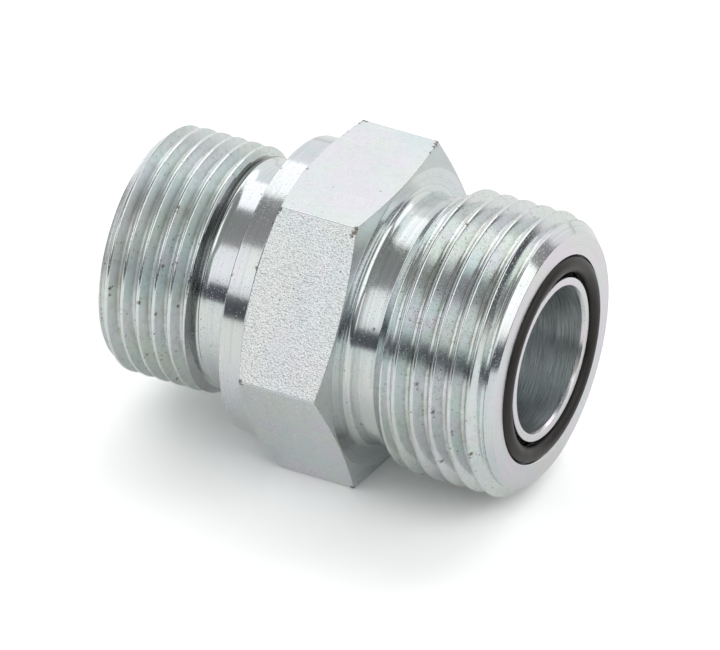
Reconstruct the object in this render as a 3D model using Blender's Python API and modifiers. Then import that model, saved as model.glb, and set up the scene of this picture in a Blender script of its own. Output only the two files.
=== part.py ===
"""Straight hydraulic adapter with a face seal end, a hexagon and a parallel pipe thread stud.

The steel body is turned from hexagon bar and its two threads are cut as true helices.
A rubber ring lies in the groove of the sealing face. Lengths are in metres. The bore runs
along X with the sealing face toward +X, and the origin is on the bore, midway along the body.
"""

import math
from typing import NamedTuple

import bmesh
import bpy

MM = 0.001
INCH = 0.0254

# Lengths along the bore
face_end_length = 17.1 * MM
grip_length = 13.0 * MM
stud_length = 15.9 * MM

# Hexagon, its washer face and the sealing collar
across_flats = 32.0 * MM
washer_face_diameter = 31.6 * MM
front_chamfer_angle = math.radians(15)
back_chamfer_angle = math.radians(22)
collar_diameter = 31.8 * MM
collar_width = 2.65 * MM

# Bore
bore_diameter = 15.5 * MM
face_bore_chamfer = 0.15 * MM
stud_bore_chamfer = 0.5 * MM

# Lip round the bore, ring groove and sealing ring
lip_width = 1.0 * MM
groove_width = 2.35 * MM
groove_depth = 1.35 * MM
ring_section = 1.78 * MM
ring_clearance = 0.2 * MM

# Threads over their crests, and how far in from its end face each one's groove starts
face_thread_diameter = 30.1 * MM
face_first_groove = 0.56 * MM
stud_thread_diameter = 26.35 * MM
stud_first_groove = 1.03 * MM

# Chamfers from the crests to the end faces
face_end_chamfer = 1.7 * MM
stud_end_chamfer = 1.175 * MM

# Reliefs behind the threads, with depths below the crests
face_relief_depth = 1.75 * MM
face_relief_width = 3.5 * MM
face_relief_fillet = 0.8 * MM
stud_relief_depth = 1.175 * MM
stud_relief_width = 4.5 * MM
stud_relief_fillet = 0.7 * MM

# Slope of the end chamfers and of the run-outs into the reliefs, from the axis
chamfer_angle = math.radians(45)

# Facets round the axis, and in each fillet and ring section
ROUND_STEPS = 48
FILLET_STEPS = 3
RING_SECTION_STEPS = 10

# How far cutting solids stand clear of the metal, and how near corners count as one
cutter_margin = 1.0 * MM
weld_distance = 0.003 * MM


class Thread(NamedTuple):
    """A thread's form, and the groove's distance in from the end face at the foot of the part."""

    major_diameter: float
    pitch: float
    flank_angle: float
    depth_in_pitches: float
    crest_in_pitches: float
    first_groove: float

    @property
    def depth(self):
        return self.depth_in_pitches * self.pitch

    @property
    def groove_width(self):
        return (1 - self.crest_in_pitches) * self.pitch

    @property
    def major_radius(self):
        return self.major_diameter / 2


# Unified thread of twelve turns an inch, with 60 degree flanks
face_thread = Thread(
    face_thread_diameter, INCH / 12, math.radians(30), 0.6134, 1 / 8, face_first_groove
)

# Parallel pipe thread of fourteen turns an inch, with 55 degree flanks
stud_thread = Thread(
    stud_thread_diameter, INCH / 14, math.radians(27.5), 0.6403, 1 / 6, stud_first_groove
)

# Diameters that follow from the bore, the threads and the walls and depths above
lip_diameter = bore_diameter + 2 * lip_width
groove_diameter = lip_diameter + 2 * groove_width
face_diameter = face_thread_diameter - 2 * face_end_chamfer
face_relief_diameter = face_thread_diameter - 2 * face_relief_depth
stud_relief_diameter = stud_thread_diameter - 2 * stud_relief_depth
stud_end_diameter = stud_thread_diameter - 2 * stud_end_chamfer

# Positions along the bore
body_length = face_end_length + grip_length + stud_length
face_z = body_length / 2
grip_front_z = face_z - face_end_length
collar_z = grip_front_z - grip_length
stud_end_z = -body_length / 2
corner_radius = across_flats / 2 / math.cos(math.pi / 6)


def clear_scene():
    for obj in list(bpy.data.objects):
        bpy.data.objects.remove(obj, do_unlink=True)


def new_collection(name):
    collection = bpy.data.collections.new(name)
    bpy.context.scene.collection.children.link(collection)
    return collection


def new_object(name, mesh, collection, parent):
    obj = bpy.data.objects.new(name, mesh)
    collection.objects.link(obj)
    obj.parent = parent
    return obj


def new_cutter(name, mesh, collection, parent):
    obj = new_object(name, mesh, collection, parent)
    obj.hide_render = True
    obj.display_type = "WIRE"
    return obj


def principled(name, color, metallic, roughness):
    material = bpy.data.materials.new(name)
    material.use_nodes = True
    shader = material.node_tree.nodes["Principled BSDF"]
    shader.inputs["Base Color"].default_value = (*color, 1.0)
    shader.inputs["Metallic"].default_value = metallic
    shader.inputs["Roughness"].default_value = roughness
    material.diffuse_color = (*color, 1.0)
    return material


def slope_height(radial_step):
    """How far along the axis a chamfer or run-out goes while its radius changes this much."""
    return radial_step / math.tan(chamfer_angle)


def arc(center, radius, start_angle, end_angle):
    """Points of a fillet in the (radius, height) half plane, angles in degrees."""
    points = []
    for step in range(FILLET_STEPS + 1):
        angle = math.radians(start_angle + (end_angle - start_angle) * step / FILLET_STEPS)
        points.append((center[0] + radius * math.cos(angle), center[1] + radius * math.sin(angle)))
    return points


def loop_mesh(name, points):
    """A closed outline of (radius, height) points, drawn in the XZ plane."""
    mesh = bpy.data.meshes.new(name)
    vertices = [(radius, 0.0, height) for radius, height in points]
    edges = [(index, (index + 1) % len(points)) for index in range(len(points))]
    mesh.from_pydata(vertices, edges, [])
    return mesh


def evaluated_mesh(obj):
    bpy.context.view_layer.update()
    depsgraph = bpy.context.evaluated_depsgraph_get()
    return bpy.data.meshes.new_from_object(obj.evaluated_get(depsgraph))


def weld(mesh):
    """Merge the corners that a Boolean leaves closer together than any real edge."""
    solid = bmesh.new()
    solid.from_mesh(mesh)
    bmesh.ops.remove_doubles(solid, verts=solid.verts, dist=weld_distance)
    bmesh.ops.dissolve_degenerate(solid, edges=solid.edges, dist=weld_distance)
    solid.to_mesh(mesh)
    solid.free()


def add_screw(obj, turns=1, rise=0.0):
    screw = obj.modifiers.new("Turn", "SCREW")
    screw.axis = "Z"
    screw.angle = math.tau
    screw.iterations = turns
    screw.screw_offset = rise
    screw.steps = ROUND_STEPS
    screw.render_steps = ROUND_STEPS


def add_boolean(obj, operation, other):
    boolean = obj.modifiers.new(other.name, "BOOLEAN")
    boolean.operation = operation
    boolean.solver = "EXACT"
    boolean.object = other


def face_end_outline():
    """From the bore mouth out over the ring groove, and back along the thread to the hexagon."""
    lip = lip_diameter / 2
    groove = groove_diameter / 2
    face = face_diameter / 2
    crest = face_thread.major_radius
    relief = face_relief_diameter / 2
    relief_end_z = grip_front_z + face_relief_width
    fillet = face_relief_fillet
    points = [
        (bore_diameter / 2 + face_bore_chamfer, face_z),
        (lip, face_z),
        (lip, face_z - groove_depth),
        (groove, face_z - groove_depth),
        (groove, face_z),
        (face, face_z),
        (crest, face_z - slope_height(crest - face)),
        (crest, relief_end_z + slope_height(crest - relief)),
        (relief, relief_end_z),
    ]
    points += arc((relief + fillet, grip_front_z + fillet), fillet, 180, 270)
    return points


def grip_outline():
    """Washer face, the two chamfers that trim the hexagon's corners, and the collar."""
    washer = washer_face_diameter / 2
    collar = collar_diameter / 2
    rim = corner_radius + cutter_margin
    collar_front_z = collar_z + collar_width
    return [
        (washer, grip_front_z),
        (rim, grip_front_z - (rim - washer) * math.tan(front_chamfer_angle)),
        (rim, collar_front_z + (rim - collar) * math.tan(back_chamfer_angle)),
        (collar, collar_front_z),
        (collar, collar_z),
    ]


def stud_outline():
    """Undercut with a fillet at each end, thread, end chamfer and bore mouth."""
    relief = stud_relief_diameter / 2
    crest = stud_thread.major_radius
    end = stud_end_diameter / 2
    bore = bore_diameter / 2
    fillet = stud_relief_fillet
    relief_end_z = collar_z - stud_relief_width
    run_out_turn = math.degrees(chamfer_angle)
    run_out_z = relief_end_z + fillet * math.tan(chamfer_angle / 2)
    points = arc((relief + fillet, collar_z - fillet), fillet, 90, 180)
    points += arc((relief + fillet, run_out_z), fillet, 180, 180 + run_out_turn)
    points += [
        (crest, relief_end_z - slope_height(crest - relief)),
        (crest, stud_end_z + slope_height(crest - end)),
        (end, stud_end_z),
        (bore + stud_bore_chamfer, stud_end_z),
        (bore, stud_end_z + stud_bore_chamfer),
        (bore, face_z - face_bore_chamfer),
    ]
    return points


def hexagon_bar(collection, parent):
    """Bar stock with flats toward +X and -X of its own frame, longer than the part."""
    mesh = bpy.data.meshes.new("hexagon_bar")
    bar = bmesh.new()
    bmesh.ops.create_cone(
        bar,
        cap_ends=True,
        segments=6,
        radius1=corner_radius,
        radius2=corner_radius,
        depth=body_length + 2 * cutter_margin,
    )
    bar.to_mesh(mesh)
    bar.free()
    return new_cutter("hexagon_bar", mesh, collection, parent)


def groove_section(thread):
    """The metal that a threading tool removes, with its mouth carried out past the crests."""
    crest = thread.major_radius
    root = crest - thread.depth
    slope = math.tan(thread.flank_angle)
    half_mouth = thread.groove_width / 2
    half_root = half_mouth - thread.depth * slope
    # Above the crests the flanks run on until the turns are half a crest apart
    half_top = half_mouth + thread.crest_in_pitches * thread.pitch / 4
    top = crest + (half_top - half_mouth) / slope
    outside = top + cutter_margin
    return [
        (outside, half_top),
        (outside, -half_top),
        (top, -half_top),
        (root, -half_root),
        (root, half_root),
        (top, half_top),
    ]


def thread_cutter(name, thread, groove_z, relief_z, turns, rises_from_relief, collection, parent):
    """A right-hand helical groove that starts or ends in the relief, on a facet of the body.

    groove_z is the height of the groove's centre at angle zero. The helix passes the relief
    at the facet where its centre is nearest to relief_z.
    """
    relief_step = round((relief_z - groove_z) / thread.pitch * ROUND_STEPS)
    start_step = relief_step if rises_from_relief else relief_step - turns * ROUND_STEPS
    guide = new_object(name, loop_mesh(name, groove_section(thread)), collection, parent)
    add_screw(guide, turns, thread.pitch)
    solid = bmesh.new()
    solid.from_mesh(evaluated_mesh(guide))
    bmesh.ops.holes_fill(solid, edges=[edge for edge in solid.edges if edge.is_boundary], sides=0)
    bmesh.ops.recalc_face_normals(solid, faces=solid.faces)
    mesh = bpy.data.meshes.new(name)
    solid.to_mesh(mesh)
    solid.free()
    bpy.data.objects.remove(guide, do_unlink=True)
    cutter = new_cutter(name, mesh, collection, parent)
    cutter.location.z = groove_z + thread.pitch * start_step / ROUND_STEPS
    cutter.rotation_euler.z = math.tau * start_step / ROUND_STEPS
    return cutter


def face_thread_cutter(collection, parent):
    relief_z = grip_front_z + (face_relief_width + face_relief_fillet) / 2
    groove_z = face_z - face_thread.first_groove
    turns = math.ceil((face_z - relief_z) / face_thread.pitch) + 1
    return thread_cutter(
        "face_thread_cutter", face_thread, groove_z, relief_z, turns, True, collection, parent
    )


def stud_thread_cutter(collection, parent):
    relief_z = collar_z - stud_relief_width / 2
    groove_z = stud_end_z + stud_thread.first_groove
    turns = math.ceil((relief_z - stud_end_z) / stud_thread.pitch) + 1
    return thread_cutter(
        "stud_thread_cutter", stud_thread, groove_z, relief_z, turns, False, collection, parent
    )


def adapter_body(parts, cutters, bore_axis, lathe):
    outline = face_end_outline() + grip_outline() + stud_outline()
    body = new_object("adapter_body", loop_mesh("adapter_body", outline), parts, lathe)
    add_screw(body)
    add_boolean(body, "INTERSECT", hexagon_bar(cutters, bore_axis))
    add_boolean(body, "DIFFERENCE", face_thread_cutter(cutters, lathe))
    add_boolean(body, "DIFFERENCE", stud_thread_cutter(cutters, lathe))
    mesh = evaluated_mesh(body)
    weld(mesh)
    mesh.name = "adapter_body"
    mesh.shade_smooth()
    mesh.set_sharp_from_angle(angle=math.radians(25))
    mesh.materials.append(principled("zinc_plated_steel", (0.70, 0.72, 0.73), 1.0, 0.3))
    body.modifiers.clear()
    body.data = mesh
    return body


def o_ring(parts, parent):
    """Lies against the groove's outer wall, proud of the sealing face."""
    section = ring_section / 2
    bpy.ops.mesh.primitive_torus_add(
        major_radius=groove_diameter / 2 - ring_clearance - section,
        minor_radius=section,
        major_segments=ROUND_STEPS,
        minor_segments=RING_SECTION_STEPS,
    )
    ring = bpy.context.active_object
    for collection in list(ring.users_collection):
        collection.objects.unlink(ring)
    parts.objects.link(ring)
    ring.name = "o_ring"
    ring.data.name = "o_ring"
    ring.parent = parent
    ring.location.z = face_z - groove_depth + ring_clearance + section
    ring.data.shade_smooth()
    ring.data.materials.append(principled("seal_rubber", (0.03, 0.027, 0.025), 0.0, 0.45))
    return ring


def main():
    clear_scene()
    parts = new_collection("straight_adapter")
    cutters = new_collection("cutters")

    # Everything is made about Z, and this empty lays it along X
    bore_axis = new_object("bore_axis", None, parts, None)
    bore_axis.rotation_euler.y = math.pi / 2

    # Turned shapes start half a facet round, so the hexagon's corners fall inside facets
    lathe = new_object("lathe", None, parts, bore_axis)
    lathe.rotation_euler.z = math.pi / ROUND_STEPS

    adapter_body(parts, cutters, bore_axis, lathe)
    o_ring(parts, lathe)


main()
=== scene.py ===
import math
from functools import cached_property

import bmesh
import bpy
import numpy as np
from mathutils import Matrix, Vector


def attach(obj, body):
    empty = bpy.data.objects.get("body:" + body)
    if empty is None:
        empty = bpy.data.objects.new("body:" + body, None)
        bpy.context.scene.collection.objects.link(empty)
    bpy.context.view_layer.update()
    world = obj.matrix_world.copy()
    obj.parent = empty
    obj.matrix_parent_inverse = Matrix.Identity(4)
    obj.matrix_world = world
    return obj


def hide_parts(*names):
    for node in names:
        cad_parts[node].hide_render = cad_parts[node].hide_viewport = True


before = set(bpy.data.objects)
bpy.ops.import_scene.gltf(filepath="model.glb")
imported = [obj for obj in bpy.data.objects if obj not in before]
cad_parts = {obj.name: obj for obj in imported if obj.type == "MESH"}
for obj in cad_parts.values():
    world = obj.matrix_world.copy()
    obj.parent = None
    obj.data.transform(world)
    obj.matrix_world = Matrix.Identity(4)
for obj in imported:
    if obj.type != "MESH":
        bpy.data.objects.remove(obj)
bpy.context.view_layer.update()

# The looks of a straight adapter: a fine mesh for each of its two solids, their finishes, and a
# studio with a camera at the photograph's angle.

MM = 0.001

# Sizes in millimetres, as in the part's source. The bore lies along X, and a name that ends in X is
# a place on it.
FACE_X, END_X = 23.0, -23.0
BORE_R = 7.75
MOUTH_WIDTH, MOUTH_DEPTH = 0.17, 0.38
LIP_R = 8.75
GROOVE_R, GROOVE_X = 11.1, 21.65
FACE_EDGE_R = 13.35
RELIEF_R, RELIEF_X = 13.3, 9.4
GRIP_X = 5.9
WASHER_R = 15.8
FLAT_R = 16.0
CORNER_ROUND = 0.16
FRONT_SLOPE = math.tan(math.radians(15))
BACK_SLOPE = math.tan(math.radians(22))
COLLAR_R, COLLAR_X = 15.9, -7.1
COLLAR_WIDTH = 2.65
NECK_R, NECK_X = 12.0, -10.75
END_EDGE_R = 12.0
END_MOUTH = 0.5

# The smaller thread runs out in a hollow beside the neck, then a ledge and a slope up to the crest
HOLLOW, HOLLOW_X = 1.09, -11.45
SLOPE_X = -11.63
RUN_OUT_X = -12.45

FACE_THREAD = dict(
    crest=15.05, pitch=25.4 / 12, depth=1.2984, flank=30.0, crest_width=25.4 / 12 / 8,
    root_round=0.17, crest_round=0.11, groove_x=22.44,
)
STUD_THREAD = dict(
    crest=13.175, pitch=25.4 / 14, depth=1.1617, flank=27.5, crest_width=25.4 / 14 / 6,
    root_round=0.2, crest_round=0.13, groove_x=-21.97,
)
THREAD_TURN = 86.25  # degrees from the groove's start to +Y
THREAD_BLEND = 0.06

RING_R, RING_X = 10.1, 22.62
RING_SECTION_R = 0.89

# The mesh is a grid of columns round the bore and stations along it. These are the places where one
# section of it meets the next.
FACE_CUT_X, RELIEF_CUT_X, END_CUT_X = 22.75, 9.6, -22.9
BORE_CUT_X = 22.0
BORE_STATIONS = np.linspace(-20, 20, 9)
BASE_COLUMNS = 180
CORNER_COLUMNS = (0.12, 0.25, 0.5)  # degrees on each side of a corner
FLANK_STEPS = 6  # stations on a flank where the thread starts and runs out
RING_COLUMNS, RING_STATIONS = 192, 36
MERGE = 0.003


def column_angles():
    """Angles round the bore in degrees, closer together at the hexagon's corners."""
    base = np.arange(BASE_COLUMNS) * 360.0 / BASE_COLUMNS
    near = [c + s * d for c in range(0, 360, 60) for d in CORNER_COLUMNS for s in (-1, 1)]
    every = np.unique(np.round(np.concatenate([base, np.mod(near, 360.0)]), 5))
    return np.append(every, 360.0)


def hexagon_radius(angles):
    """Distance from the bore to the hexagon, with its corners rounded."""
    off = np.abs((angles + 30.0) % 60.0 - 30.0)
    flat = FLAT_R / np.cos(np.radians(30.0 - off))
    centre = (FLAT_R - CORNER_ROUND) / math.cos(math.radians(30))
    along = np.cos(np.radians(off)) * centre
    across = np.sin(np.radians(off)) * centre
    rounded = along + np.sqrt(np.maximum(CORNER_ROUND ** 2 - across ** 2, 0))
    limit = math.degrees(math.atan2(
        CORNER_ROUND * 0.5, centre + CORNER_ROUND * math.cos(math.radians(30))))
    return np.where(off < limit, rounded, flat)


def rounded_section(corners, count):
    """Stations along (radius, x, tangent length, steps) corners, as (column, station, 2)."""
    points = [
        np.stack([np.zeros(count) + radius, np.zeros(count) + x], -1)
        for radius, x, _, _ in corners
    ]
    out = [points[0]]
    for i in range(1, len(points) - 1):
        tangent, steps = corners[i][2:]
        p = points[i]
        if steps < 2:
            out.append(p)
            continue
        to_a, to_b = points[i - 1] - p, points[i + 1] - p
        len_a = np.linalg.norm(to_a, axis=1, keepdims=True)
        len_b = np.linalg.norm(to_b, axis=1, keepdims=True)
        reach = np.minimum(tangent, 0.45 * np.minimum(len_a, len_b))
        start, end = p + to_a / len_a * reach, p + to_b / len_b * reach
        cos_turn = -(to_a * to_b).sum(1, keepdims=True) / (len_a * len_b)
        weight = np.sqrt(np.maximum((1 + cos_turn) / 2, 1e-6))
        for u in np.linspace(0, 1, steps):
            a, b, c = (1 - u) ** 2, 2 * u * (1 - u) * weight, u ** 2
            out.append((a * start + b * p + c * end) / (a + b + c))
    out.append(points[-1])
    return np.stack(out, 1)


def smooth_min(a, b, k):
    """The smaller of two values, blended where they are less than k apart."""
    h = np.maximum(k - np.abs(a - b), 0) / k
    return np.minimum(a, b) - h * h * k / 4


def thread_half_section(thread):
    """(distance from the groove's centre, radius) from the root to the middle of the crest."""
    slope = math.tan(math.radians(thread["flank"]))
    crest, root = thread["crest"], thread["crest"] - thread["depth"]
    half_crest = thread["crest_width"] / 2
    half_pitch = thread["pitch"] / 2
    mouth = half_pitch - half_crest
    bottom = mouth - thread["depth"] * slope
    section = rounded_section([
        (root, 0.0, 0, 0),
        (root, bottom, thread["root_round"], 4),
        (crest, mouth, thread["crest_round"], 5),
        (crest, half_pitch + half_crest, 0, 0),
    ], 1)[0]
    return np.append(section[:-1, 1], half_pitch), section[:, 0]


def groove_centre(thread, angles):
    """Where the first turn of the groove's helix passes each angle."""
    return thread["groove_x"] + thread["pitch"] * (angles + THREAD_TURN) / 360.0


def thread_radius(thread, x, angles, envelope):
    """The threaded surface's radius, cut by the chamfer and run-out that the envelope gives."""
    distance, radius = thread_half_section(thread)
    pitch = thread["pitch"]
    off = np.abs((x - groove_centre(thread, angles) + pitch / 2) % pitch - pitch / 2)
    return smooth_min(envelope(x), np.interp(off, distance, radius), THREAD_BLEND)


def thread_stations(thread, angles, high_x, low_x, envelope):
    """Stations that follow the helix from high_x down to low_x, as (column, station, 2)."""
    coarse, _ = thread_half_section(thread)
    pitch = thread["pitch"]
    flank = np.argmax(np.diff(coarse))
    steps = np.linspace(coarse[flank], coarse[flank + 1], FLANK_STEPS + 1)
    fine = np.concatenate([coarse[:flank], steps, coarse[flank + 2:]])
    centre = groove_centre(thread, angles)
    first = math.ceil((high_x - centre.min()) / pitch)
    last = math.floor((low_x - centre.max()) / pitch)
    offsets = []
    for k in range(first, last, -1):
        half = fine if k > first - 2 or k < last + 4 else coarse
        offsets.append(k * pitch + np.concatenate([-half[:-1], -(pitch - half[::-1])[:-1]]))
    x = np.clip(centre[:, None] + np.concatenate(offsets)[None, :], low_x, high_x)
    return np.stack([thread_radius(thread, x, angles[:, None], envelope), x], -1)


def face_envelope(x):
    """The radius that the larger thread is cut down to at its two ends."""
    return np.minimum(FACE_EDGE_R + (FACE_X - x), RELIEF_R + (x - RELIEF_X))


def stud_envelope(x):
    """The radius that the smaller thread is cut down to at its two ends."""
    chamfer = END_EDGE_R + (x - END_X)
    into = np.clip(x - NECK_X, HOLLOW_X - NECK_X, 0)
    hollow = NECK_R + HOLLOW - np.sqrt(HOLLOW ** 2 - into ** 2)
    slope = np.maximum(SLOPE_X - x, 0)
    return np.minimum(chamfer, hollow + slope)


def grid_faces(count, stations, start):
    """Quads of a grid of columns and stations whose first vertex is start."""
    column = np.arange(count - 1)[:, None] * stations
    station = np.arange(stations - 1)[None, :]
    a = (start + column + station).ravel()
    return np.stack([a, a + 1, a + 1 + stations, a + stations], -1)


def body_sections(angles):
    """The body's outline in sections, each as (name, (column, station, 2))."""
    hexagon = hexagon_radius(angles)
    front_edge = GRIP_X - (hexagon - WASHER_R) * FRONT_SLOPE
    back_edge = COLLAR_X + COLLAR_WIDTH + (hexagon - COLLAR_R) * BACK_SLOPE
    end_cut = thread_radius(STUD_THREAD, END_CUT_X, angles, stud_envelope)
    face = [
        (BORE_R, BORE_CUT_X, 0, 0),
        (BORE_R, FACE_X - MOUTH_DEPTH, 0.06, 3),
        (BORE_R + MOUTH_WIDTH, FACE_X, 0.07, 3),
        (LIP_R, FACE_X, 0.12, 4),
        (LIP_R, GROOVE_X, 0.15, 4),
        (GROOVE_R, GROOVE_X, 0.15, 4),
        (GROOVE_R, FACE_X, 0.1, 4),
        (FACE_EDGE_R, FACE_X, 0.12, 4),
        (face_envelope(FACE_CUT_X), FACE_CUT_X, 0, 0),
    ]
    grip = [
        (face_envelope(RELIEF_CUT_X), RELIEF_CUT_X, 0, 0),
        (RELIEF_R, RELIEF_X, 0.15, 4),
        (RELIEF_R, GRIP_X, 0.8, 8),
        (WASHER_R, GRIP_X, 0.12, 4),
        (hexagon, front_edge, 0.05, 4),
        (hexagon, back_edge, 0.05, 4),
        (COLLAR_R, COLLAR_X + COLLAR_WIDTH, 0.12, 4),
        (COLLAR_R, COLLAR_X, 0.16, 4),
        (NECK_R, COLLAR_X, 0.7, 8),
        (NECK_R, NECK_X, 0, 0),
    ]
    end = [
        (end_cut, END_CUT_X, 0, 0),
        (END_EDGE_R, END_X, 0.07, 3),
        (BORE_R + END_MOUTH, END_X, 0.08, 3),
        (BORE_R, END_X + END_MOUTH, 0.1, 3),
        *((BORE_R, x, 0, 0) for x in BORE_STATIONS),
        (BORE_R, BORE_CUT_X, 0, 0),
    ]
    return [
        ("face", rounded_section(face, len(angles))),
        ("face_thread",
         thread_stations(FACE_THREAD, angles, FACE_CUT_X, RELIEF_CUT_X, face_envelope)),
        ("grip", rounded_section(grip, len(angles))),
        ("stud_thread", thread_stations(STUD_THREAD, angles, NECK_X, END_CUT_X, stud_envelope)),
        ("end", rounded_section(end, len(angles))),
    ]


# Where the finishes meet, in millimetres and degrees. A face is judged by its centre, and a skin
# is how far under a surface that may be.
FACE_CHAMFER_X, END_CHAMFER_X = 19.0, -20.0
CHAMFER_SKIN = 0.04
CREST_SKIN = 0.09
FLAT_SKIN = BORE_SKIN = 0.02
FLAT_FRONT_X, FLAT_BACK_X = 5.9, -4.4
FLAT_LEAST_R = 15.92
GRAIN_MIDDLE, GRAIN_REACH = 150, 29.4
SLOPE_BACK_X = 4.4
RELIEF_BACK_X = GRIP_X + 0.05
BORE_REACH = 22.6
FACE_SKIN_X = 22.97
LIP_BACK_X = 22.5
LIP_SKIN = 0.1


def body_zone(name, centres):
    """The finish of each face in a section, as its place in FINISHES."""
    x, y, z = centres.T
    r = np.hypot(y, z)
    zone = np.zeros(len(x), int)

    def paint(finish, where):
        zone[where] = list(FINISHES).index(finish)

    if name == "face_thread":
        on_chamfer = (x > FACE_CHAMFER_X) & (r > face_envelope(x) - CHAMFER_SKIN)
        paint("steel_thread", ~on_chamfer)
    elif name == "stud_thread":
        on_chamfer = (x < END_CHAMFER_X) & (r > stud_envelope(x) - CHAMFER_SKIN)
        paint("steel_stud_thread", ~on_chamfer)
        paint("steel_crest", (r > STUD_THREAD["crest"] - CREST_SKIN) & ~on_chamfer)
        paint("steel_run_out", x > RUN_OUT_X)
    elif name == "grip":
        angle = np.degrees(np.arctan2(z, y)) % 360
        to_flat = np.abs(r * np.cos(np.radians(angle % 60 - 30)) - FLAT_R)
        on_hexagon = (r > FLAT_LEAST_R) & (x > FLAT_BACK_X) & (x < FLAT_FRONT_X)
        on_hexagon &= to_flat < FLAT_SKIN
        paint("steel_flat", on_hexagon)
        paint("steel_grain", on_hexagon & (np.abs(angle - GRAIN_MIDDLE) < GRAIN_REACH))
        paint("steel_slope", (x > SLOPE_BACK_X) & (r > WASHER_R) & ~on_hexagon)
        paint("steel_relief", x > RELIEF_BACK_X)
    else:
        paint("steel_bore", (r < BORE_R + BORE_SKIN) & (np.abs(x) < BORE_REACH))
        paint("steel_face", (x > FACE_SKIN_X) | ((x > LIP_BACK_X) & (r < LIP_R - LIP_SKIN)))
    return zone


def area_normals(vertices, faces):
    """Vertex normals weighted by face area, so that large flats stay flat to their edges."""
    corners = vertices[faces]
    normal = np.cross(corners[:, 2] - corners[:, 0], corners[:, 3] - corners[:, 1]) / 2
    out = np.zeros_like(vertices)
    for i in range(4):
        np.add.at(out, faces[:, i], normal)
    length = np.linalg.norm(out, axis=1, keepdims=True)
    return out / np.maximum(length, 1e-12)


def new_object(name, data):
    obj = bpy.data.objects.new(name, data)
    bpy.context.scene.collection.objects.link(obj)
    return obj


def new_piece(name, vertices, faces, materials):
    """A smooth piece from its vertices in millimetres and its faces."""
    mesh = bpy.data.meshes.new(name)
    mesh.from_pydata((vertices * MM).tolist(), [], faces)
    for material in materials:
        mesh.materials.append(material)
    mesh.polygons.foreach_set("use_smooth", np.ones(len(faces), bool))
    mesh.update()
    return new_object(name, mesh)


def fine_body(materials):
    """The steel body, with its rounded threads and broken edges."""
    degrees = column_angles()
    turn = np.radians(degrees)[:, None]
    vertices, faces, zones, start = [], [], [], 0
    for name, section in body_sections(degrees):
        r, x = section[..., 0], section[..., 1]
        points = np.stack([x, r * np.cos(turn), r * np.sin(turn)], -1).reshape(-1, 3)
        quads = grid_faces(*x.shape, start)
        vertices.append(points)
        faces.append(quads)
        zones.append(body_zone(name, points[quads - start].mean(1)))
        start += len(points)
    vertices, faces, zones = (np.concatenate(part) for part in (vertices, faces, zones))

    # Vertices that meet at the seam, between sections and at the ends of the helix become one
    key = np.round(vertices / MERGE).astype(np.int64)
    _, first, same = np.unique(key, axis=0, return_index=True, return_inverse=True)
    vertices, faces = vertices[first], same.ravel()[faces]
    normals = area_normals(vertices, faces)
    distinct = [list(dict.fromkeys(face)) for face in faces.tolist()]
    kept = [i for i, face in enumerate(distinct) if len(face) > 2]

    body = new_piece("adapter_body_fine", vertices, [distinct[i] for i in kept], materials)
    body.data.polygons.foreach_set("material_index", zones[kept].astype(np.int32))
    body.data.normals_split_custom_set_from_vertices(normals.tolist())
    return body


def fine_ring(material):
    """The rubber ring, lying on the outer wall of its groove."""
    u = np.arange(RING_COLUMNS) / RING_COLUMNS * math.tau
    v = np.arange(RING_STATIONS) / RING_STATIONS * math.tau
    r = RING_R + RING_SECTION_R * np.cos(v)[None, :]
    points = np.stack([
        RING_X + RING_SECTION_R * np.sin(v)[None, :] + 0 * u[:, None],
        r * np.cos(u)[:, None],
        r * np.sin(u)[:, None],
    ], -1).reshape(-1, 3)
    i, j = np.meshgrid(np.arange(RING_COLUMNS), np.arange(RING_STATIONS), indexing="ij")
    here, after = i * RING_STATIONS, (i + 1) % RING_COLUMNS * RING_STATIONS
    next_j = (j + 1) % RING_STATIONS
    faces = np.stack([here + j, after + j, after + next_j, here + next_j], -1).reshape(-1, 4)
    return new_piece("o_ring_fine", points, faces.tolist(), [material])


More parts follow.
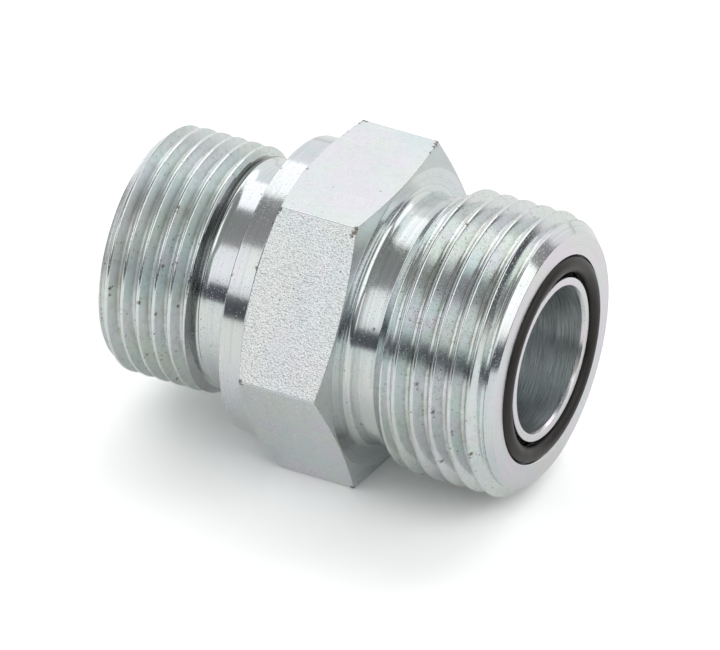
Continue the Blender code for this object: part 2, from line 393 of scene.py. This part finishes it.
class Nodes:
    """Short calls for building the node tree of a material or the world."""

    def __init__(self, owner):
        owner.use_nodes = True
        self.tree = owner.node_tree
        self.shader = self.tree.nodes.get("Principled BSDF")

    def add(self, kind, **settings):
        node = self.tree.nodes.new(kind)
        for name, value in settings.items():
            setattr(node, name, value)
        return node

    def link(self, output, socket):
        self.tree.links.new(output, socket)

    def feed(self, socket, source):
        """Gives a socket a number or a colour, or links another node's output to it."""
        if isinstance(source, bpy.types.NodeSocket):
            self.link(source, socket)
        elif socket.type == "RGBA":
            socket.default_value = (*source, 1.0)
        else:
            socket.default_value = source

    def feed_all(self, sockets, sources):
        for socket, source in zip(sockets, sources):
            if source is not None:
                self.feed(socket, source)

    def calc(self, operation, a, b=None, c=None):
        node = self.add("ShaderNodeMath", operation=operation)
        self.feed_all(node.inputs, (a, b, c))
        return node.outputs[0]

    def combine(self, x, y, z):
        node = self.add("ShaderNodeCombineXYZ")
        self.feed_all(node.inputs, (x, y, z))
        return node.outputs[0]

    def remap(self, source, a, b, c=0.0, d=1.0, kind="LINEAR"):
        """c where the source is a or beyond it, d where it is b or beyond it."""
        node = self.add("ShaderNodeMapRange", interpolation_type=kind)
        self.feed_all(node.inputs, (source, a, b, c, d))
        return node.outputs[0]

    def noise(self, vector, scale, detail, roughness, distortion=0.0):
        node = self.add("ShaderNodeTexNoise")
        self.feed(node.inputs["Vector"], vector)
        self.feed(node.inputs["Scale"], scale)
        self.feed(node.inputs["Detail"], detail)
        self.feed(node.inputs["Roughness"], roughness)
        self.feed(node.inputs["Distortion"], distortion)
        return node.outputs["Fac"]

    def mix(self, factor, a, b):
        node = self.add("ShaderNodeMix", data_type="RGBA")
        self.feed(node.inputs["Factor"], factor)
        colors = [socket for socket in node.inputs if socket.type == "RGBA"]
        self.feed_all(colors, (a, b))
        return next(socket for socket in node.outputs if socket.type == "RGBA")

    def bump(self, height, distance, strength=1.0, normal=None):
        node = self.add("ShaderNodeBump")
        self.feed(node.inputs["Height"], height)
        self.feed(node.inputs["Distance"], distance)
        self.feed(node.inputs["Strength"], strength)
        if normal is not None:
            self.feed(node.inputs["Normal"], normal)
        return node.outputs["Normal"]


def cast(tint, by):
    """A tint with its red, green and blue multiplied."""
    return tuple(a * b for a, b in zip(tint, by))


# The plate, the casts that drift over it, the colours of what marks it, and the colours of painted
# highlight and shade
PLATE = (0.738, 0.778, 0.752)
BLUE_CAST = (0.93, 0.985, 1.04)
LILAC_CAST = (1.015, 0.963, 1.045)
GREEN_CAST = (0.965, 1.0, 0.97)
BLOTCH = (0.50, 0.53, 0.52)
LATHE_LINE = (0.50, 0.53, 0.53)
# The scratches' dark tone, and the painted highlight of their bright streaks
SCRATCH_SHADE, SCRATCH_PAINTED_HIGHLIGHT = (0.34, 0.38, 0.37), (0.98, 1.0, 0.98)
# Painted shade and painted highlight on the forged grain
GRAIN_PAINTED_SHADE, GRAIN_PAINTED_HIGHLIGHT = (0.42, 0.44, 0.44), (0.98, 0.99, 0.98)
SPECK = (0.15, 0.135, 0.11)
OIL = (0.42, 0.41, 0.33)
# Painted shade: the dark colour laid over the smaller thread's run-out
PAINTED_SHADE_COLOR = (0.10, 0.105, 0.10)
NICK = (0.20, 0.165, 0.115)
RUBBER_LOW, RUBBER_HIGH = (0.013, 0.011, 0.010), (0.024, 0.020, 0.018)

# In metres. The oil lies in both threads, short of their ends
OIL_DEPTH, OIL_MIDDLE, OIL_REACH = 0.00045, 0.01705, 0.00445
# Painted shade in the smaller thread's run-out: where it fades in at its ends, and the side,
# towards -Y and +Z, where it is darkest
PAINTED_SHADE_FADE = 0.0001
PAINTED_SHADE_SIDE = (-0.60, 0.80)  # towards -Y and +Z


class Steel(Nodes):
    """Bright zinc plate over steel. Each method adds one kind of mark, or of painted highlight or
    shade, to it.

    Places and bump distances are in metres, and the scales of patterns in repeats a metre.
    """

    def __init__(self, name, roughness, tint, lilac):
        self.material = bpy.data.materials.new(name)
        super().__init__(self.material)
        self.place = self.add("ShaderNodeTexCoord").outputs["Object"]
        cloud = self.noise(self.place, 110.0, 2.0, 0.5, 0.8)
        self.color = self.mix(self.remap(cloud, 0.40, 0.62, 0.0, 0.8), tint, cast(tint, BLUE_CAST))
        cloud = self.noise(self.place, 210.0, 2.0, 0.5, 0.6)
        self.stain(self.remap(cloud, 0.47, 0.60, 0.0, lilac), cast(tint, LILAC_CAST))
        self.stain(self.remap(cloud, 0.45, 0.34, 0.0, 0.35), cast(tint, GREEN_CAST))
        drift = self.noise(self.place, 400.0, 3.0, 0.6)
        self.rough = self.remap(drift, 0.3, 0.7, roughness * 0.85, roughness * 1.15)
        self.normal = self.bump(self.noise(self.place, 2600.0, 3.0, 0.6), 0.000003)

    @cached_property
    def axes(self):
        """The place's x, y and z."""
        parts = self.add("ShaderNodeSeparateXYZ")
        self.link(self.place, parts.inputs[0])
        return tuple(parts.outputs)

    @cached_property
    def radius(self):
        squares = [self.calc("MULTIPLY", part, part) for part in self.axes[1:]]
        return self.calc("SQRT", self.calc("ADD", *squares))

    @cached_property
    def angle(self):
        _, y, z = self.axes
        return self.calc("ARCTAN2", z, y)

    def stain(self, factor, color):
        self.color = self.mix(factor, self.color, color)

    def dent(self, height, distance, strength):
        self.normal = self.bump(height, distance, strength, self.normal)

    def patches(self, scale, detail, roughness, *ends):
        """Patches of noise, remapped to the ends that are given."""
        return self.remap(self.noise(self.place, scale, detail, roughness), *ends)

    def cells(self, scale):
        """Distances from points strewn at random, and two random numbers for each point."""
        cells = self.add("ShaderNodeTexVoronoi")
        self.link(self.place, cells.inputs["Vector"])
        self.feed(cells.inputs["Scale"], scale)
        pick = self.add("ShaderNodeSeparateColor")
        self.link(cells.outputs["Color"], pick.inputs[0])
        return cells.outputs["Distance"], pick.outputs[0], pick.outputs[1]

    def mottle(self, amount):
        """Small grey blotches."""
        self.stain(self.patches(1500.0, 5.0, 0.7, 0.52, 0.34, 0.0, amount), BLOTCH)

    def lines(self, amount):
        """The fine rings that a lathe leaves."""
        turned = self.calc("MULTIPLY", self.angle, 0.00004)
        ring = self.combine(self.axes[0], self.radius, turned)
        ridges = self.noise(ring, 12000.0, 1.5, 0.6)
        self.stain(self.remap(ridges, 0.52, 0.38, 0.0, amount), LATHE_LINE)
        self.dent(ridges, 0.000012, amount)

    def scratches_and_painted_highlights(self, amount):
        """The slanting marks that a drill leaves in a bore, with bright streaks painted over them
        in patches as a painted highlight.
        """
        slanted = self.calc("MULTIPLY_ADD", self.angle, 0.0009, self.axes[0])
        swirl = self.combine(slanted, 0.0, self.calc("MULTIPLY", self.angle, 0.0002))
        swirls = self.noise(swirl, 10500.0, 3.0, 0.7)
        self.stain(self.remap(swirls, 0.5, 0.36, 0.0, amount), SCRATCH_SHADE)
        # Painted highlight: bright streaks, in patches
        painted_highlight = self.remap(swirls, 0.54, 0.66, 0.0, amount)
        patch = self.patches(260.0, 2.0, 0.5, 0.40, 0.62, 0.25, 1.0)
        self.stain(self.calc("MULTIPLY", painted_highlight, patch), SCRATCH_PAINTED_HIGHLIGHT)
        self.dent(swirls, 0.00004, amount)

    def grain_and_painted_sheen(self, amount):
        """The rounded grain of a forged flat: a real bump, with the grains' tops painted lighter
        and their hollows painted darker as painted highlight and shade.
        """
        bumps = self.add("ShaderNodeTexVoronoi", feature="SMOOTH_F1")
        self.link(self.place, bumps.inputs["Vector"])
        self.feed(bumps.inputs["Scale"], 5000.0)
        self.feed(bumps.inputs["Smoothness"], 0.6)
        fine = self.noise(self.place, 7200.0, 2.0, 0.6)
        height = self.calc("MULTIPLY_ADD", bumps.outputs["Distance"], -0.6, fine)
        self.dent(height, 0.00002, amount)
        # Painted shade in the grains' hollows and painted highlight on their tops
        self.stain(self.remap(height, 0.14, 0.0, 0.0, 0.6 * amount), GRAIN_PAINTED_SHADE)
        self.stain(self.remap(height, 0.16, 0.40, 0.0, amount), GRAIN_PAINTED_HIGHLIGHT)

    def specks(self, amount):
        """Dark specks in patches, and smaller pits that catch the light in dark reflections."""
        patches = self.patches(260.0, 2.0, 0.6, 0.42, 0.62, 0.15, 1.4)
        distance, pick, size = self.cells(2600.0)
        chosen = self.calc("LESS_THAN", pick, self.calc("MULTIPLY", patches, 0.8 * amount))
        wobble = self.patches(9000.0, 2.0, 0.6, 0.3, 0.7, -0.10, 0.10)
        edge = self.calc("MULTIPLY_ADD", self.calc("MULTIPLY", size, size), 0.22, wobble)
        spot = self.remap(self.calc("SUBTRACT", distance, edge), 0.08, -0.02)
        self.stain(self.calc("MULTIPLY", self.calc("MULTIPLY", spot, chosen), 0.8), SPECK)

        distance, pick, _ = self.cells(5600.0)
        pitted = self.calc("LESS_THAN", pick, self.calc("MULTIPLY", patches, 0.30))
        pit = self.calc("MULTIPLY", self.remap(distance, 0.38, 0.22), pitted)
        self.rough = self.calc("MULTIPLY_ADD", pit, 0.45, self.rough)

    def oil(self, root):
        """Oily dirt in the valleys of a thread, whose root is this far from the bore's axis."""
        low = self.remap(self.radius, root + OIL_DEPTH, root, 0.0, 0.35)
        off_middle = self.calc("ABSOLUTE", self.axes[0])
        middle = self.calc("COMPARE", off_middle, OIL_MIDDLE, OIL_REACH)
        patch = self.patches(500.0, 3.0, 0.6, 0.42, 0.60)
        amount = self.calc("MULTIPLY", self.calc("MULTIPLY", low, middle), patch)
        self.stain(amount, OIL)

    def painted_shade(self, ends):
        """Painted shade: a dark colour laid over the run-out between two places along the bore,
        darkest on one side.
        """
        low, high = ends
        x, y, z = self.axes
        inside = self.calc("MULTIPLY", self.remap(x, low, low + PAINTED_SHADE_FADE),
                           self.remap(x, high, high - PAINTED_SHADE_FADE))
        side = self.calc("MULTIPLY_ADD", y, PAINTED_SHADE_SIDE[0],
                         self.calc("MULTIPLY", z, PAINTED_SHADE_SIDE[1]))
        # The painted shade is darkest on the side towards -Y and +Z
        amount = self.remap(self.calc("DIVIDE", side, self.radius), 0.35, 0.62, 0.45, 0.82)
        self.stain(self.calc("MULTIPLY", inside, amount), PAINTED_SHADE_COLOR)

    def nicks(self, marks):
        """Small brown nicks at (x, angle, radius, size) in millimetres and degrees."""
        nearest = None
        for x, degrees, radius, size in marks:
            turn = math.radians(degrees)
            gap = self.add("ShaderNodeVectorMath", operation="DISTANCE")
            self.link(self.place, gap.inputs[0])
            middle = (x * MM, radius * math.cos(turn) * MM, radius * math.sin(turn) * MM)
            self.feed(gap.inputs[1], middle)
            edge = self.calc("SUBTRACT", gap.outputs["Value"], size * MM)
            nearest = edge if nearest is None else self.calc("MINIMUM", nearest, edge)
        wobble = self.noise(self.place, 6500.0, 4.0, 0.7)
        ragged = self.calc("MULTIPLY_ADD", wobble, 0.0010, nearest)
        spots = self.remap(ragged, 0.00062, 0.00050)
        self.stain(self.calc("MULTIPLY", spots, 0.85), NICK)
        self.rough = self.calc("MULTIPLY_ADD", spots, 0.3, self.rough)

    def finish(self, stretch):
        """Links what the marks have built up. stretch draws reflections out across the turning."""
        self.link(self.color, self.shader.inputs["Base Color"])
        self.link(self.rough, self.shader.inputs["Roughness"])
        self.link(self.normal, self.shader.inputs["Normal"])
        self.shader.inputs["Metallic"].default_value = 1.0
        if stretch:
            tangent = self.add("ShaderNodeTangent", direction_type="RADIAL", axis="X")
            self.link(tangent.outputs[0], self.shader.inputs["Tangent"])
            self.shader.inputs["Anisotropic"].default_value = stretch
            self.shader.inputs["Anisotropic Rotation"].default_value = 0.25
        return self.material


# The methods of Steel that add a mark or painted light, in the order that they lie over one another
MARKS = ("mottle", "lines", "scratches_and_painted_highlights", "grain_and_painted_sheen", "specks", "oil", "painted_shade", "nicks")


def steel(name, roughness, tint=PLATE, lilac=0.5, stretch=0.0, **marks):
    """A steel finish, with each mark's amount, ends or places."""
    plate = Steel(name, roughness, tint, lilac)
    for mark in sorted(marks, key=MARKS.index):
        getattr(plate, mark)(marks[mark])
    return plate.finish(stretch)


def rubber():
    material = bpy.data.materials.new("seal_rubber_fine")
    n = Nodes(material)
    place = n.add("ShaderNodeTexCoord").outputs["Object"]
    cloud = n.noise(place, 500.0, 3.0, 0.6)
    fine = n.noise(place, 5000.0, 3.0, 0.6)
    color = n.mix(n.remap(cloud, 0.3, 0.7), RUBBER_LOW, RUBBER_HIGH)
    n.link(color, n.shader.inputs["Base Color"])
    n.link(n.remap(cloud, 0.3, 0.7, 0.36, 0.48), n.shader.inputs["Roughness"])
    n.link(n.bump(fine, 0.000006), n.shader.inputs["Normal"])
    n.shader.inputs["Metallic"].default_value = 0.0
    n.shader.inputs["Specular IOR Level"].default_value = 0.43
    return material


# (x, angle, radius, size) of each nick, in millimetres and degrees from +Y towards +Z
HEXAGON_NICKS = (
    (5.15, 120.0, 18.35, 0.16), (5.1, 121.2, 18.2, 0.20), (4.95, 122.4, 18.1, 0.12),
    (-3.5, 120.4, 18.3, 0.22), (-3.75, 121.8, 18.1, 0.24), (-3.95, 123.2, 17.9, 0.16),
    (-3.3, 60.0, 18.4, 0.26), (-3.0, 60.0, 18.4, 0.2), (-3.6, 62.0, 18.1, 0.2),
    (-3.8, 64.2, 17.8, 0.16), (-4.0, 68.0, 17.2, 0.14), (5.3, 61.6, 18.15, 0.18),
    (5.35, 63.2, 17.9, 0.14), (5.5, 66.5, 17.45, 0.1), (-3.3, 179.8, 18.4, 0.16),
    (-3.15, 181.0, 18.3, 0.12), (5.1, 239.6, 18.4, 0.20), (5.2, 60.4, 18.4, 0.14),
    (-4.3, 131.0, 16.6, 0.10), (-4.35, 96.0, 16.1, 0.12), (-4.4, 112.0, 17.0, 0.10),
    (4.4, 118.6, 17.9, 0.07),
)
COLLAR_NICKS = (
    (-4.5, 123.0, 15.9, 0.10), (-4.6, 141.0, 15.9, 0.07), (-7.05, 116.0, 15.8, 0.10),
    (-7.05, 146.0, 15.8, 0.12), (-6.9, 99.0, 15.9, 0.05), (8.6, 152.0, 13.3, 0.06),
    (7.4, 205.0, 13.3, 0.06),
)
FACE_THREAD_NICKS = (
    (14.80, 168.3, 14.60, 0.13), (16.88, 178.2, 14.76, 0.16), (14.95, 170.4, 14.60, 0.07),
    (16.70, 176.4, 14.70, 0.08), (17.02, 180.6, 14.75, 0.09), (12.6, 172.0, 14.4, 0.06),
    (18.95, 185.0, 14.70, 0.08), (19.05, 186.8, 14.70, 0.05), (16.9, 190.5, 14.7, 0.06),
    (21.12, 193.6, 14.91, 0.20), (17.15, 206.3, 14.59, 0.16), (22.14, 200.9, 13.85, 0.10),
    (14.07, 97.0, 15.05, 0.12), (14.3, 97.8, 15.05, 0.08), (12.84, 233.6, 15.0, 0.12),
    (21.0, 195.5, 14.9, 0.10), (19.2, 134.0, 14.6, 0.08), (17.6, 150.0, 14.7, 0.08),
)
STUD_THREAD_NICKS = (
    (-16.22, 123.7, 13.15, 0.14), (-16.10, 125.6, 13.10, 0.08), (-15.89, 151.5, 12.80, 0.13),
    (-15.75, 153.4, 12.80, 0.07), (-21.29, 168.6, 12.88, 0.12), (-21.2, 172.0, 12.90, 0.08),
    (-17.76, 171.3, 13.10, 0.13), (-17.6, 169.4, 13.05, 0.07), (-15.84, 174.7, 12.93, 0.10),
    (-13.72, 169.0, 12.29, 0.10), (-15.47, 225.6, 12.71, 0.10), (-19.6, 192.0, 12.9, 0.12),
    (-17.3, 203.0, 12.8, 0.10),
)

# The body's material slots in order. A face that body_zone leaves alone has the first one.
FINISHES = {
    "steel_turned": dict(
        roughness=0.15, tint=(0.742, 0.772, 0.765), lilac=0.6, stretch=0.5,
        lines=0.32, specks=0.15, nicks=COLLAR_NICKS + HEXAGON_NICKS),
    "steel_thread": dict(
        roughness=0.18, tint=(0.755, 0.797, 0.77), lilac=0.8,
        mottle=0.3, specks=0.9, oil=0.01375, nicks=FACE_THREAD_NICKS),
    "steel_stud_thread": dict(
        roughness=0.42, tint=(0.805, 0.85, 0.82),
        mottle=0.35, specks=0.8, oil=0.012013, nicks=STUD_THREAD_NICKS),
    "steel_flat": dict(
        roughness=0.24, tint=(0.785, 0.822, 0.808), lilac=1.0,
        mottle=0.12, specks=0.08, nicks=HEXAGON_NICKS),
    "steel_grain": dict(
        roughness=0.18, tint=(0.77, 0.795, 0.78),
        grain_and_painted_sheen=0.7, specks=0.2, nicks=HEXAGON_NICKS),
    "steel_bore": dict(
        roughness=0.36, tint=(0.67, 0.715, 0.705), stretch=0.7,
        scratches_and_painted_highlights=1.0),
    "steel_face": dict(
        roughness=0.22, tint=(0.775, 0.765, 0.775), lilac=0.9,
        lines=0.2, specks=0.1),
    # The run-out has painted shade laid over its plate
    "steel_run_out": dict(
        roughness=0.16,
        specks=0.5, painted_shade=(-0.01252, -0.01163)),
    "steel_relief": dict(
        roughness=0.16, stretch=0.4,
        lines=0.6, specks=0.4, nicks=COLLAR_NICKS),
    "steel_slope": dict(
        roughness=0.32, tint=(0.64, 0.675, 0.66),
        mottle=0.3, specks=0.2, nicks=HEXAGON_NICKS),
    "steel_crest": dict(
        roughness=0.17, tint=(0.79, 0.835, 0.805),
        mottle=0.2, specks=0.8, nicks=STUD_THREAD_NICKS),
}

FLOOR_Z = -FLAT_R * MM - 0.00001
FLOOR_R = 12.0
FLOOR = 0.86
FLOOR_SEEN = 1.75  # the studio floor is exposed to white, and only its shadow is under it
FLOOR_MIRRORED = 1.17
FLOOR_WARMTH = 0.02
SHADOW_REACH = 0.014
SHADOW = (0.15, 0.45, 0.66, 1.0)  # how open the floor is, from and to, and its tone there


def floor_piece():
    """A pale floor that is white to the camera, apart from the part's shadow, which is painted
    deeper near the part.
    """
    mesh = bpy.data.meshes.new("floor")
    bm = bmesh.new()
    bmesh.ops.create_circle(bm, cap_ends=True, segments=96, radius=FLOOR_R)
    bm.to_mesh(mesh)
    bm.free()
    obj = new_object("floor", mesh)
    obj.location.z = FLOOR_Z
    material = bpy.data.materials.new("pale_floor")
    obj.data.materials.append(material)

    n = Nodes(material)
    n.tree.nodes.clear()
    path = n.add("ShaderNodeLightPath")
    # Painted shadow: ambient occlusion darkens the floor that the camera sees, near the part
    near = n.add("ShaderNodeAmbientOcclusion", samples=8)
    n.feed(near.inputs["Distance"], SHADOW_REACH)
    shadow = n.remap(near.outputs["AO"], *SHADOW)
    glossy = path.outputs["Is Glossy Ray"]
    mirrored = n.calc("MULTIPLY_ADD", glossy, FLOOR_MIRRORED - FLOOR, FLOOR)
    seen = n.calc("MULTIPLY_ADD", shadow, FLOOR_SEEN, -FLOOR)
    tone = n.calc("MULTIPLY_ADD", path.outputs["Is Camera Ray"], seen, mirrored)
    blue = n.calc("MULTIPLY_ADD", glossy, -FLOOR_WARMTH, tone)
    color = n.add("ShaderNodeCombineColor")
    n.feed_all(color.inputs, (tone, tone, blue))
    diffuse = n.add("ShaderNodeBsdfDiffuse")
    n.link(color.outputs[0], diffuse.inputs["Color"])
    n.link(diffuse.outputs[0], n.add("ShaderNodeOutputMaterial").inputs["Surface"])


# The studio stands square to the camera. RIGHT is the camera's right, and BACK is level, away from
# the camera.
RIGHT = Vector((0.8944, 0.4472, 0.0))
BACK = Vector((-0.4472, 0.8944, 0.0))
UP = Vector((0.0, 0.0, 1.0))

# The dim room by height, from the horizon to overhead
ROOM = (
    (0.0, (0.061, 0.062, 0.075)), (0.2, (0.096, 0.098, 0.113)), (0.45, (0.36, 0.36, 0.355)),
    (0.8, (0.32, 0.32, 0.315)), (1.0, (0.23, 0.24, 0.24)),
)
# The white backdrop, with the degrees and heights over which its edges fade
BACKDROP = (0.92, 0.92, 0.92)
BACKDROP_RIGHT, BACKDROP_LEFT, BACKDROP_TOP = (57, 65), (36, 46), (0.58, 0.70)

# (right, back, up) towards each soft box, its width and height in metres, its brightness, where 1
# is white, and how far it hangs below that line
SOFT_BOXES = {
    "top_box": ((0.0, 0.56, 0.83), 1.7, 0.59, 1.05, 0.0),
    "right_box": ((0.70, -0.42, 0.58), 1.23, 0.75, 1.07, 0.0),
    "left_box": ((-0.70, -0.42, 0.58), 1.23, 0.60, 0.70, 0.05),
}


def surroundings():
    """A white backdrop behind the part in a dim room, and plain white to the camera."""
    world = bpy.data.worlds.new("studio")
    bpy.context.scene.world = world
    n = Nodes(world)
    n.tree.nodes.clear()
    place = n.add("ShaderNodeTexCoord").outputs["Generated"]

    def along(axis):
        node = n.add("ShaderNodeVectorMath", operation="DOT_PRODUCT")
        n.link(place, node.inputs[0])
        n.feed(node.inputs[1], axis)
        return node.outputs["Value"]

    def falling(source, low, high):
        return n.remap(source, low, high, 1.0, 0.0, "SMOOTHSTEP")

    room = n.add("ShaderNodeValToRGB")
    stops = room.color_ramp.elements
    while len(stops) < len(ROOM):
        stops.new(0.5)
    for stop, (height, color) in zip(stops, ROOM):
        stop.position = height
        stop.color = (*color, 1)
    n.link(along(UP), room.inputs[0])

    aside = n.calc("ARCTAN2", along(RIGHT), along(BACK))
    other_way = n.calc("MULTIPLY", aside, -1.0)
    sides = n.calc("MULTIPLY", falling(aside, *map(math.radians, BACKDROP_RIGHT)),
                   falling(other_way, *map(math.radians, BACKDROP_LEFT)))
    behind = n.calc("MULTIPLY", sides, falling(along(UP), *BACKDROP_TOP))
    around = n.add("ShaderNodeBackground")
    n.link(n.mix(behind, room.outputs[0], BACKDROP), around.inputs["Color"])
    white = n.add("ShaderNodeBackground")
    n.feed(white.inputs["Color"], (1, 1, 1))
    seen = n.add("ShaderNodeMixShader")
    camera_ray = n.add("ShaderNodeLightPath").outputs["Is Camera Ray"]
    for socket, source in zip(seen.inputs, (camera_ray, around.outputs[0], white.outputs[0])):
        n.link(source, socket)
    n.link(seen.outputs[0], n.add("ShaderNodeOutputWorld").inputs["Surface"])


def soft_box(name, toward, width, height, level, lower):
    """A soft box a metre from the part, facing it."""
    data = bpy.data.lights.new(name, "AREA")
    data.shape = "RECTANGLE"
    data.size, data.size_y = width, height
    data.energy = level * math.pi * width * height
    right, back, up = toward
    toward = (RIGHT * right + BACK * back + UP * up).normalized()
    obj = new_object(name, data)
    obj.rotation_mode = "QUATERNION"
    obj.rotation_quaternion = toward.to_track_quat("Z", "Y")
    obj.location = toward - obj.rotation_quaternion @ Vector((0, lower, 0))
    obj.visible_camera = False


# Fitted to the photograph's angle, in metres and millimetres of focal length
LENS, SENSOR = 734.44, 36.0
CAMERA_PLACE = (0.564396, -1.123154, 0.834211)
CAMERA_FORWARD = (-0.37315, 0.74401, -0.55427)
CAMERA_UP = (-0.25783, 0.49073, 0.83229)


def camera():
    data = bpy.data.cameras.new("camera")
    data.sensor_fit = "HORIZONTAL"
    data.sensor_width = SENSOR
    data.lens = LENS
    data.clip_start, data.clip_end = 0.01, 60.0
    data.dof.use_dof = False
    obj = new_object("camera", data)
    forward = Vector(CAMERA_FORWARD).normalized()
    right = forward.cross(Vector(CAMERA_UP)).normalized()
    turn = Matrix((right, right.cross(forward), -forward)).transposed()
    obj.matrix_world = Matrix.Translation(CAMERA_PLACE) @ turn.to_4x4()
    bpy.context.scene.camera = obj


camera()
surroundings()
for name, settings in SOFT_BOXES.items():
    soft_box(name, *settings)
floor_piece()
bpy.context.scene.view_settings.view_transform = "Standard"

body = fine_body([steel(name, **settings) for name, settings in FINISHES.items()])
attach(body, "root")
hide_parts("adapter_body")

ring = fine_ring(rubber())
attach(ring, "root")
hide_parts("o_ring")
